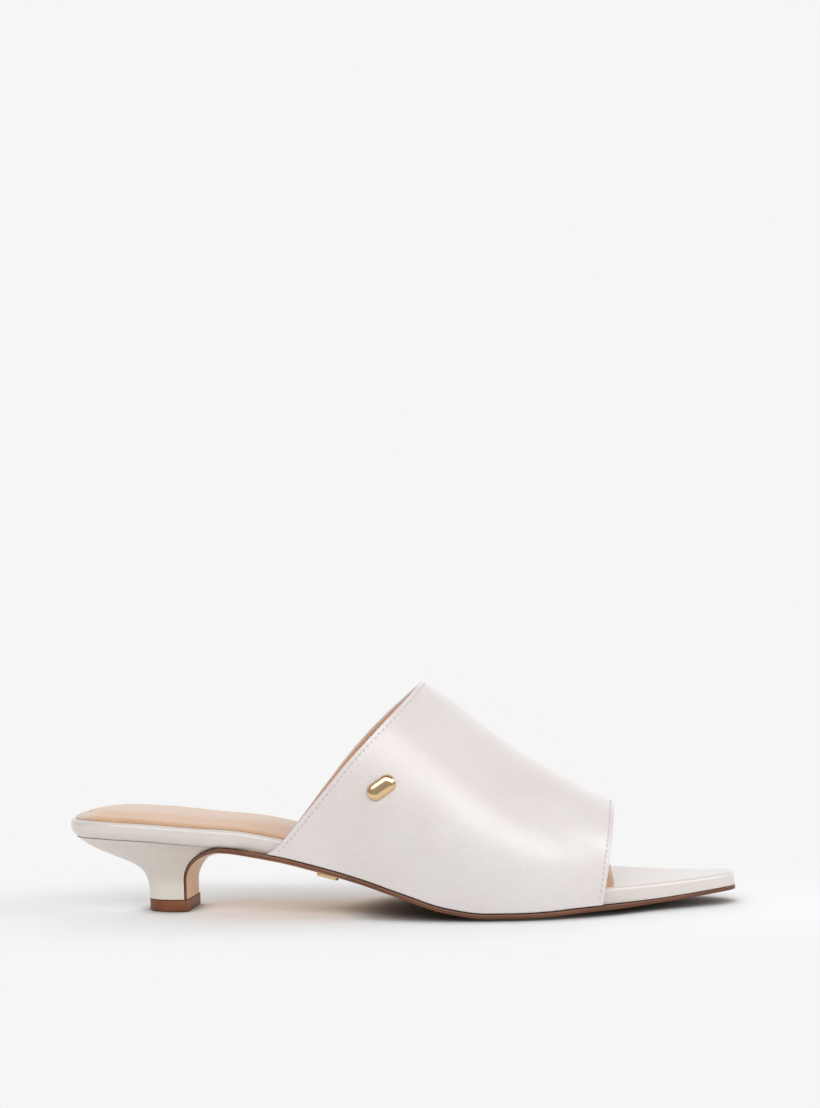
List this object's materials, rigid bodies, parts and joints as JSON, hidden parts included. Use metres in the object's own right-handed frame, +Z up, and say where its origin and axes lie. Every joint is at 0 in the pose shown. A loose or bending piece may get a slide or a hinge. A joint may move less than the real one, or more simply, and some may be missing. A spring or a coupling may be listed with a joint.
{
  "type": "kitten heel sandal",
  "caption": "Right-foot open-toe mule with one smooth vamp band, a wrapped platform, a padded insole sock, a thin outsole and a low covered heel with a top-lift.",
  "frame": {"origin": "on the floor under the middle of the shoe's bounding box", "axes": "+X from heel to toe along the length, +Y to the medial side, +Z up; the shoe stands on its sole at Z = 0"},
  "size_m": [0.2512, 0.0792, 0.0845],
  "materials": {
    "vamp_leather": "smooth ivory leather, soft gloss",
    "wrap_leather": "smooth ivory leather wrapped over the platform's edge",
    "sock_leather": "smooth nude leather, satin",
    "outsole_leather": "tan leather sole with a dark brown dressed edge",
    "heel_cover": "smooth ivory leather over a hard heel block",
    "top_lift_rubber": "brown moulded rubber, matte",
    "gold_polished": "polished gold plate",
    "gold_brushed": "satin gold plate"
  },
  "bodies": {
    "root": {"upper": "vamp_leather", "platform": "wrap_leather", "insole_sock": "sock_leather", "outsole": "outsole_leather", "heel_block": "heel_cover", "top_lift": "top_lift_rubber", "vamp_stud": "gold_polished", "arch_plate": "gold_brushed"}
  },
  "joints": []
}
